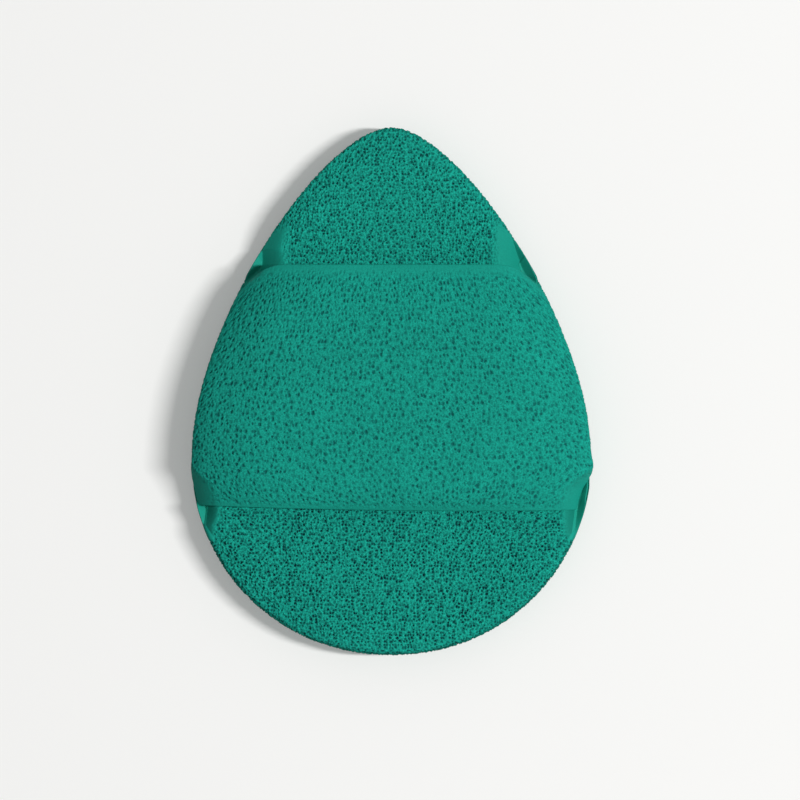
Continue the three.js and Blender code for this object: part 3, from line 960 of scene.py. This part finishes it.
# Studio
# A flat floor of white paper under the glove, a strip softbox from the right and even light all round.
# The camera looks straight down through a long lens, so there is hardly any perspective.

FRAME_WIDTH = 166.7 * MM
FRAME_HEIGHT_ABOVE_FLOOR = 6 * MM  # where the picture is as wide as that
CAMERA_RIGHT = 1.8 * MM
CAMERA_BACK = 1.8 * MM
LENS = 300.0
SENSOR = 36.0

camera_data = bpy.data.cameras.new("overhead_camera")
camera_data.lens = LENS
camera_data.sensor_width = SENSOR
camera = bpy.data.objects.new("overhead_camera", camera_data)
camera_height = FRAME_HEIGHT_ABOVE_FLOOR + FRAME_WIDTH * LENS / SENSOR
camera.location = (CAMERA_RIGHT, -CAMERA_BACK, camera_height)
bpy.context.scene.collection.objects.link(camera)
bpy.context.scene.camera = camera

HALF_FLOOR = 1.5
FLOOR_DROP = 0.05 * MM
PAPER_COLOUR = "#a8a8a6"
PAPER_TO_CAMERA = "#e0e0de"
PAPER_GLOW = 0.2
PAPER_ROUGHNESS = 0.9


def background_seen(tree):
    """1 for rays that show the background to the camera, to gloss or to glass, and 0 for the rest."""
    rays = add_node(tree, "ShaderNodeLightPath").outputs
    seen = {0: rays["Is Camera Ray"], 1: rays["Is Glossy Ray"]}
    seen = add_node(tree, "ShaderNodeMath", seen, operation="MAXIMUM")
    return add_node(tree, "ShaderNodeMath", {0: seen, 1: rays["Is Transmission Ray"]}, operation="MAXIMUM")


def white_paper():
    """Matt background paper, almost white to the eye and darker for the light it throws on the glove."""
    paper = bpy.data.materials.new("white_paper")
    paper.use_nodes = True
    tree = paper.node_tree
    shader = tree.nodes["Principled BSDF"]
    seen = background_seen(tree)
    shades = {0: seen, 6: srgb(PAPER_COLOUR), 7: srgb(PAPER_TO_CAMERA)}
    shade = add_node(tree, "ShaderNodeMix", shades, data_type="RGBA")
    tree.links.new(shade.outputs[2], shader.inputs["Base Color"])
    glow = add_node(tree, "ShaderNodeMath", {0: seen, 1: PAPER_GLOW}, operation="MULTIPLY")
    tree.links.new(glow.outputs[0], shader.inputs["Emission Strength"])
    shader.inputs["Emission Color"].default_value = (1, 1, 1, 1)
    shader.inputs["Roughness"].default_value = PAPER_ROUGHNESS
    return paper


floor_mesh = bpy.data.meshes.new("floor")
floor_corners = [(-1, -1, 0), (1, -1, 0), (1, 1, 0), (-1, 1, 0)]
floor_mesh.from_pydata([HALF_FLOOR * Vector(corner) for corner in floor_corners], [], [(0, 1, 2, 3)])
floor = bpy.data.objects.new("floor", floor_mesh)
bpy.context.scene.collection.objects.link(floor)
floor_mesh.materials.append(white_paper())
floor.location.z = -FLOOR_DROP

LAMP_FROM = Vector((0.56, 0.005, 0.83))
LAMP_DISTANCE = 2.0
LAMP_WIDTH = 0.1
LAMP_LENGTH = 0.7
LAMP_LIGHT = 2.5
AROUND_LIGHT = 0.3

lamp_data = bpy.data.lights.new("strip_softbox", "AREA")
lamp_data.shape = "RECTANGLE"
lamp_data.size = LAMP_WIDTH
lamp_data.size_y = LAMP_LENGTH
lamp_data.energy = LAMP_LIGHT * math.pi * LAMP_DISTANCE**2
lamp = bpy.data.objects.new("strip_softbox", lamp_data)
lamp.location = LAMP_FROM * LAMP_DISTANCE
lamp.rotation_euler = LAMP_FROM.to_track_quat("Z", "Y").to_euler()
bpy.context.scene.collection.objects.link(lamp)

world = bpy.data.worlds.new("even_light")
world.use_nodes = True
tree = world.node_tree
seen = background_seen(tree)
strength = add_node(tree, "ShaderNodeMapRange", {"Value": seen, "To Min": AROUND_LIGHT, "To Max": 1.0})
sky = tree.nodes["Background"]
sky.inputs["Color"].default_value = (1, 1, 1, 1)
tree.links.new(strength.outputs[0], sky.inputs["Strength"])
bpy.context.scene.world = world

bpy.context.scene.view_settings.view_transform = "Standard"
